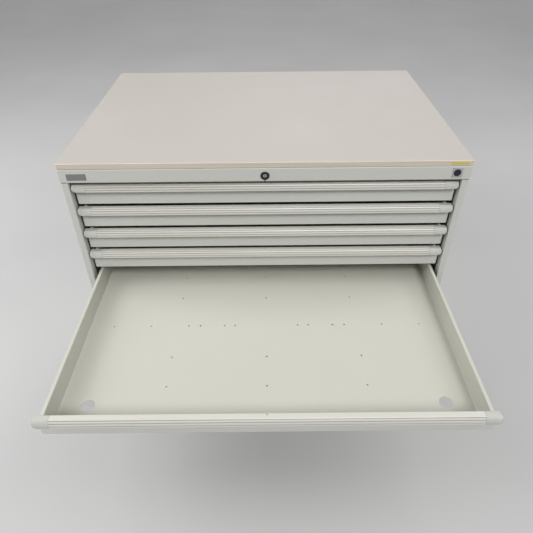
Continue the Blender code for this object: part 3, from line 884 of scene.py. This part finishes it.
# ---------------------------------------------------------------- drawers
def make_trough():
    """Floor, side walls and out-turned rims, bent from one sheet."""
    rim = TRAY_HALF + RIM_WIDTH
    half = [
        (rim, -RIM_LIP, 0),
        (rim, 0, RIM_BEND),
        (TRAY_HALF, 0, RIM_BEND),
        (TRAY_HALF, -TRAY_DROP, FLOOR_BEND),
    ]
    left = [(-across, up, radius) for across, up, radius in half]
    corners = [*left, *reversed(half)]
    return extruded("trough", sheet_outline(corners), "Y", TRAY_FRONT, TRAY_BACK + SHEET / 2, TRAY_ENAMEL)


def make_front_pan():
    """Front panel pressed as a shallow pan, open to the back and at the top."""
    top = -GRIP_SKIN - GAP
    rear = PANEL_RECESS + PANEL_RETURN
    low = Vector((-PANEL_HALF, PANEL_RECESS, -DRAWER_HEIGHT))
    high = Vector((PANEL_HALF, rear + PAST, top + PAST))
    inset = Vector((SHEET, SHEET, SHEET))
    pan = block("front_pan", low, high, TRAY_ENAMEL, PANEL_ROLL, 5)
    inner_high = high + Vector((-SHEET, PAST, PAST))
    inner = block("pan_inside", low + inset, inner_high, TRAY_ENAMEL, PANEL_ROLL - SHEET, 5)
    behind = block("pan_behind", (-1, rear, -1), (1, 1, 1), TRAY_ENAMEL)
    above = block("pan_above", (-1, -1, top), (1, 1, 1), TRAY_ENAMEL)
    return carve(pan, [inner, behind, above], "DIFFERENCE")


def make_rear_wall():
    rim = TRAY_HALF + RIM_WIDTH
    corners = [
        (TRAY_BACK - SHEET / 2, -TRAY_DROP, 0),
        (TRAY_BACK, -TRAY_DROP, 0),
        (TRAY_BACK, 0, RIM_BEND),
        (TRAY_BACK + RIM_WIDTH, 0, RIM_BEND),
        (TRAY_BACK + RIM_WIDTH, -RIM_LIP, 0),
    ]
    return extruded("rear_wall", sheet_outline(corners), "X", -rim, rim, TRAY_ENAMEL)


def tray_drills():
    """Round holes in the tray floor: two large ones in front, and rows of small ones for stops and pegs."""
    middle = (GRIP_DEPTH + TRAY_BACK) / 2
    below = -TRAY_DROP - PAST
    up = (0, 0, 1)
    drills = []
    for side in (-1, 1):
        spot = (side * BIG_HOLE_X, middle - BIG_HOLE_FORWARD, below)
        drills.append(rod("drill", BIG_HOLE_RADIUS, spot, 2 * PAST, up, TRAY_ENAMEL, 64))
        for across in PEG_ROW_X:
            spot = (side * across, middle, below)
            drills.append(rod("drill", PEG_RADIUS, spot, 2 * PAST, up, TRAY_ENAMEL, PEG_SIDES))
        for across in (-PEG_COLUMN_X, 0, PEG_COLUMN_X):
            for along in PEG_COLUMN_Y:
                spot = (across, middle + side * along, below)
                drills.append(rod("drill", PEG_RADIUS, spot, 2 * PAST, up, TRAY_ENAMEL, PEG_SIDES))
    return drills


def make_tray():
    """Whole drawer box, welded from its bent sheets."""
    tray = make_trough()
    reach = TRAY_HALF + SHEET
    rim = TRAY_HALF + RIM_WIDTH
    low = (-reach, TRAY_FRONT - SHEET, -TRAY_DROP - SHEET)
    high = (reach, TRAY_FRONT + SHEET / 4, 0)
    inner_wall = block("inner_wall", low, high, TRAY_ENAMEL)
    carve(tray, [inner_wall, make_rear_wall(), make_front_pan()], "UNION")
    seat = (PANEL_HALF + PAST, GRIP_DEPTH + GAP, PAST)
    cuts = [block("grip_seat", (-PANEL_HALF - PAST, 0, -GRIP_SKIN - GAP), seat, TRAY_ENAMEL)]
    for side in (-1, 1):
        ends = sorted((side * reach, side * (rim + PAST)))
        first = (ends[0], TRAY_BACK - SHEET, -TRAY_DROP - PAST)
        last = (ends[1], TRAY_BACK + RIM_WIDTH + PAST, -RIM_LIP)
        cuts.append(block("corner", first, last, TRAY_ENAMEL))
    return flatten(carve(tray, [*cuts, *tray_drills()], "DIFFERENCE"))


def face_line(first, last, steps, depth=0.0):
    """Outline corners evenly spaced along the face, without the two ends."""
    shares = [first + (last - first) * step / steps for step in range(1, steps)]
    return [(*face_spot(share, depth), 0) for share in shares]


def face_groove(first, last):
    """Groove across the face between two shares."""
    return [
        (*face_spot(first), CREST_RADIUS),
        (*face_spot(first + FLANK, GROOVE_DEPTH), ROOT_RADIUS),
        (*face_spot(last - FLANK, GROOVE_DEPTH), ROOT_RADIUS),
        (*face_spot(last), CREST_RADIUS),
    ]


def make_grip():
    """Full-width ribbed grip profile with a small catch hole at the middle of its top."""
    leg_back = PANEL_RECESS - GAP
    corners = [(GRIP_DEPTH, 0, CREST_RADIUS), (*face_spot(0), CREST_RADIUS)]
    rib_start = 0
    for first, last in GROOVES:
        corners += face_line(rib_start, first, RIB_STEPS)[1:-1]
        corners += face_groove(first, last)
        rib_start = last
    corners += face_line(rib_start, 1, RIB_STEPS)[1:-1]
    corners += [(*face_spot(1), LIP_RADIUS), (*face_spot(1, LIP_THICKNESS), LIP_RADIUS)]
    corners += face_line(1, 0, LIP_STEPS, LIP_THICKNESS)
    corners += [
        (face_spot(0, LIP_THICKNESS)[0], -GRIP_SKIN, 0),
        (LEG_FRONT, -GRIP_SKIN, LEG_TOP_ROUND),
        (LEG_FRONT, -LEG_FOOT, LEG_ROUND),
        (leg_back, -LEG_FOOT, LEG_ROUND),
        (leg_back, -GRIP_SKIN, STEP_ROUND),
        (GRIP_DEPTH, -GRIP_SKIN, CREST_RADIUS),
    ]
    grip = extruded("grip", outline(corners), "X", -GRIP_HALF, GRIP_HALF, GRIP_COAT)
    spot = (0, GRIP_DEPTH - CATCH_HOLE_BACK, -GRIP_SKIN - PAST / 2)
    hole = rod("catch_hole", CATCH_HOLE_RADIUS, spot, PAST, (0, 0, 1), GRIP_COAT, 24)
    return flatten(carve(grip, [hole], "DIFFERENCE"))


def quarter(distance, radius):
    """How far an edge has come in, a distance along the quarter round that ends it."""
    share = min(max(distance, 0.0), radius)
    return radius - sqrt(radius * radius - share * share)


def make_cap():
    """Left moulded cap: the grip's section without grooves, closed by a round outer corner."""
    leg = PANEL_RECESS - GAP
    corners = [
        (GRIP_DEPTH, 0, CAP_EDGE_ROUND),
        (*face_spot(0), CAP_RIDGE_ROUND),
        *face_line(0, 1, CAP_STEPS)[1:-1],
        (*face_spot(1), LIP_RADIUS),
        (leg, -GRIP_DROP, CAP_EDGE_ROUND),
        (leg, -GRIP_SKIN, STEP_ROUND),
        (GRIP_DEPTH, -GRIP_SKIN, CAP_EDGE_ROUND),
    ]
    section = outline(corners)
    length = CAP_END - CAP_INNER
    stations = [0.0, SEAM_BREAK]
    for step in range(CAP_STEPS + 1):
        stations.append(length - CAP_ROUND * (1 - sin(radians(90 * step / CAP_STEPS))))
    shape = bmesh.new()
    rings = []
    for station in stations:
        rise = quarter(station - (length - CAP_ROUND), CAP_ROUND * CAP_ROUND_SHARE)
        inset = quarter(station - (length - CAP_TOP_ROUND), CAP_TOP_ROUND * CAP_ROUND_SHARE)
        if station == 0.0:
            inset = SEAM_BREAK
        height = GRIP_DROP - rise - 2 * inset
        ring = []
        for across, up in section:
            across_now = across + inset * (1 - 2 * (across - GRIP_FRONT) / (GRIP_DEPTH - GRIP_FRONT))
            up_now = -inset + up / GRIP_DROP * height
            ring.append(shape.verts.new((-CAP_INNER - station, across_now, up_now)))
        rings.append(ring)
    count = len(section)
    for first, second in zip(rings, rings[1:]):
        for corner in range(count):
            past = (corner + 1) % count
            shape.faces.new((first[corner], first[past], second[past], second[corner]))
    shape.faces.new(rings[0])
    shape.faces.new(rings[-1])
    return flatten(to_piece("cap", shape, CAP_PLASTIC))


def make_member():
    """Left drawer runner: a channel with four slots in its web."""
    tip = MEMBER_LOW.x
    web = MEMBER_HIGH.x
    top = MEMBER_HIGH.z - TRAY_HIGH.z
    foot = MEMBER_LOW.z - TRAY_HIGH.z
    start = MEMBER_LOW.y - FRONT
    stop = MEMBER_HIGH.y - FRONT
    corners = [(tip, top, 0), (web, top, RUNNER_BEND), (web, foot, RUNNER_BEND), (tip, foot, 0)]
    member = extruded("member", sheet_outline(corners, RUNNER_SHEET), "Y", start, stop, ZINC)
    slots = []
    middle = (top + foot) / 2
    for share in SLOT_SHARES:
        along = start + (stop - start) * share
        low = (along - SLOT_HALF_LENGTH, middle - SLOT_HALF_HEIGHT)
        high = (along + SLOT_HALF_LENGTH, middle + SLOT_HALF_HEIGHT)
        slot = block_outline(low, high, SLOT_ROUND)
        slots.append(extruded("slot", slot, "X", web - PAST, web - GAP, ZINC))
    return flatten(carve(member, slots, "DIFFERENCE"))


def make_drawers():
    """Every drawer from one set of masters."""
    left_cap = make_cap()
    left_member = make_member()
    masters = {
        "box": (make_tray(), "tray_enamel", "tray"),
        "grip_profile": (make_grip(), "handle_enamel", "handle"),
        "end_cap_left": (left_cap, "cap_plastic", "cap_left"),
        "end_cap_right": (flatten(mirrored("cap_right", left_cap)), "cap_plastic", "cap_right"),
        "member_left": (left_member, "zinc_steel", "runner_left"),
        "member_right": (flatten(mirrored("member_right", left_member)), "zinc_steel", "runner_right"),
    }
    for number in range(1, DRAWERS + 1):
        low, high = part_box(f"drawer_{number}_tray")
        spot = (0, low.y - PANEL_RECESS, high.z)
        for role, (master, slot, node) in masters.items():
            piece = master.copy()
            piece.name = f"drawer_{number}_{role}"
            piece.location = spot
            bpy.context.scene.collection.objects.link(piece)
            fit(piece, f"drawer_{number}", slot, f"drawer_{number}_{node}")
    for master, _, _ in masters.values():
        bpy.data.objects.remove(master, do_unlink=True)


# ---------------------------------------------------------------- lock and plates
def make_bezel():
    """Dark domed ring and its threaded barrel."""
    bore = PLUG_RADIUS + GAP
    dome = outline(
        [
            (-GAP, BEZEL_RADIUS, 0.0002),
            (-BEZEL_RISE * 0.45, BEZEL_RADIUS, 0.0005),
            (-BEZEL_RISE, BEZEL_RADIUS * 0.8, 0.0009),
            (-BEZEL_RISE, PLUG_WINDOW + 0.0006, 0.0004),
            (-BEZEL_RISE + 0.0010, PLUG_WINDOW, 0),
            (-BEZEL_RISE + PLUG_SETBACK - GAP, PLUG_WINDOW, 0),
            (-BEZEL_RISE + PLUG_SETBACK - GAP, bore, 0),
            (BARREL_REAR, bore, 0),
            (BARREL_REAR, BARREL_RADIUS, 0.0004),
            (-GAP, BARREL_RADIUS, 0),
        ]
    )
    bezel = lathe("lock_bezel", [tuple(point) for point in dome], DARK_RING, ring=True)
    bezel.location = (0, FRONT, LOCK_HEIGHT)
    return fit(bezel, "cabinet", "lock_nickel", "lock_housing")


def make_plug():
    """Plug with its keyway, the long shaft behind it, and the crank whose pin moves the latch bar."""
    face = PLUG_SETBACK - BEZEL_RISE
    end = PLUG_LOW.y - FRONT + PLUG_LENGTH
    crank_back = PLUG_HIGH.y - FRONT - PIN_REACH
    crank_front = crank_back - CRANK_THICKNESS
    chamfer = 0.0006
    profile = [
        (face, 0.0),
        (face, PLUG_RADIUS - chamfer),
        (face + chamfer, PLUG_RADIUS),
        (end, PLUG_RADIUS),
        (end, SHAFT_RADIUS),
        (crank_front, SHAFT_RADIUS),
        (crank_front, CRANK_RADIUS - chamfer),
        (crank_front + chamfer, CRANK_RADIUS),
        (crank_back, CRANK_RADIUS),
        (crank_back, 0.0),
    ]
    plug = lathe("lock_plug_core", profile, LOCK_METAL)
    throw = CRANK_THROW * sin(radians(45))
    pin_spot = (throw, crank_back - CRANK_THICKNESS / 2, throw)
    pin_length = PLUG_HIGH.y - FRONT - pin_spot[1]
    carve(plug, [rod("pin", PIN_RADIUS, pin_spot, pin_length, (0, 1, 0), LOCK_METAL, 24)], "UNION")
    low = (-KEYWAY_HALF, face - PAST, -KEYWAY_TALL)
    high = (KEYWAY_HALF, face + KEYWAY_DEPTH, KEYWAY_TALL)
    carve(plug, [block("keyway", low, high, LOCK_METAL, 0.0004, 2)], "DIFFERENCE")
    plug.location = (0, FRONT, LOCK_HEIGHT)
    return fit(plug, "lock_plug", "lock_nickel", "lock_plug")


def make_plate(name, centre, size, surface, rise, corner=PLATE_CORNER, plane=FRONT):
    """Thin plate on a front plane with rounded corners and edges."""
    half = Vector(size) / 2
    points = block_outline(Vector(centre) - half, Vector(centre) + half, corner)
    plate = extruded(name, points, "Y", plane - rise, plane - GAP / 3, surface)
    return fit(soften(plate, 0.0002), "cabinet", "zinc_steel")


def make_plates():
    """Blank name plate, badge with a plain round field, and blank label with a coloured stripe."""
    field = (NAME_SIZE[0] - 2 * NAME_RIM, NAME_SIZE[1] - 2 * NAME_RIM)
    make_plate("name_plate_rim", NAME_SPOT, NAME_SIZE, PLATE_EDGE, NAME_RIM_RISE)
    make_plate("name_plate_field", NAME_SPOT, field, PLATE_METAL, NAME_FIELD_RISE)
    make_plate("badge_plate", BADGE_SPOT, (BADGE_SIDE, BADGE_SIDE), BADGE_METAL, BADGE_RISE)
    disc = (BADGE_DISC, BADGE_DISC)
    make_plate("badge_field", BADGE_SPOT, disc, DARK_RING, BADGE_DISC_RISE, BADGE_DISC / 2 - GAP)
    stripe = (LABEL_SIZE[0] - LABEL_MARGIN, LABEL_SIZE[1] - LABEL_MARGIN)
    edge = TOP_LOW.y
    make_plate("label_ground", LABEL_SPOT, LABEL_SIZE, LABEL_GROUND, LABEL_RISE, plane=edge)
    make_plate("label_stripe", LABEL_SPOT, stripe, LABEL_STRIPE, STRIPE_RISE, plane=edge)


# ---------------------------------------------------------------- stage, light and camera
def make_floor():
    shape = bmesh.new()
    bmesh.ops.create_grid(shape, x_segments=8, y_segments=8, size=9.0)
    ground = to_piece("studio_ground", shape, floor_paint())


def make_area(name, spot, target, size, power):
    data = bpy.data.lights.new(name, "AREA")
    data.shape = "RECTANGLE"
    data.size, data.size_y = size
    data.energy = power
    lamp = bpy.data.objects.new(name, data)
    bpy.context.scene.collection.objects.link(lamp)
    lamp.location = spot
    lamp.rotation_euler = (Vector(target) - Vector(spot)).to_track_quat("-Z", "Y").to_euler()
    lamp.visible_camera = False
    return lamp


def make_sun(name, heading, strength, spread):
    """Even light from one direction; the spread softens its shadows."""
    data = bpy.data.lights.new(name, "SUN")
    data.energy = strength
    data.angle = radians(spread)
    lamp = bpy.data.objects.new(name, data)
    bpy.context.scene.collection.objects.link(lamp)
    lamp.rotation_euler = Vector(heading).to_track_quat("-Z", "Y").to_euler()


def make_lights():
    """Soft key from high in front, a weak one behind, side lamps, and a faint room light."""
    for name, heading, strength, spread in SUNS:
        make_sun(name, heading, strength, spread)
    for name, spot, side, power in LAMPS:
        make_area(name, spot, LAMP_AIM, (side, side), power)
    world = bpy.data.worlds.new("studio_room")
    world.use_nodes = True
    background = world.node_tree.nodes["Background"]
    background.inputs["Color"].default_value = ROOM_COLOUR
    background.inputs["Strength"].default_value = ROOM_STRENGTH
    bpy.context.scene.world = world


def make_camera():
    data = bpy.data.cameras.new("view_camera")
    data.sensor_width = SENSOR_WIDTH
    data.lens = LENS
    camera = bpy.data.objects.new("view_camera", data)
    bpy.context.scene.collection.objects.link(camera)
    spot = Matrix.Translation(CAMERA_SPOT)
    tilt = Matrix.Rotation(CAMERA_TILT, 4, "X")
    roll = Matrix.Rotation(CAMERA_ROLL, 4, "Z")
    camera.matrix_world = spot @ tilt @ roll
    bpy.context.scene.camera = camera


# ---------------------------------------------------------------- the whole model
def build():
    make_camera()
    make_lights()
    make_floor()
    make_top_board()
    make_edge_band()
    make_side_skins()
    make_header()
    make_floor_pan()
    make_plinth()
    make_back_screws()
    make_drawers()
    make_bezel()
    make_plates()
    make_plug()
    repaint("back_panel", BODY_ENAMEL)
    repaint("left_runner_rack", ZINC)
    repaint("right_runner_rack", ZINC)
    repaint("lock_bar", ZINC)


build()
bpy.context.scene.view_settings.view_transform = "Standard"
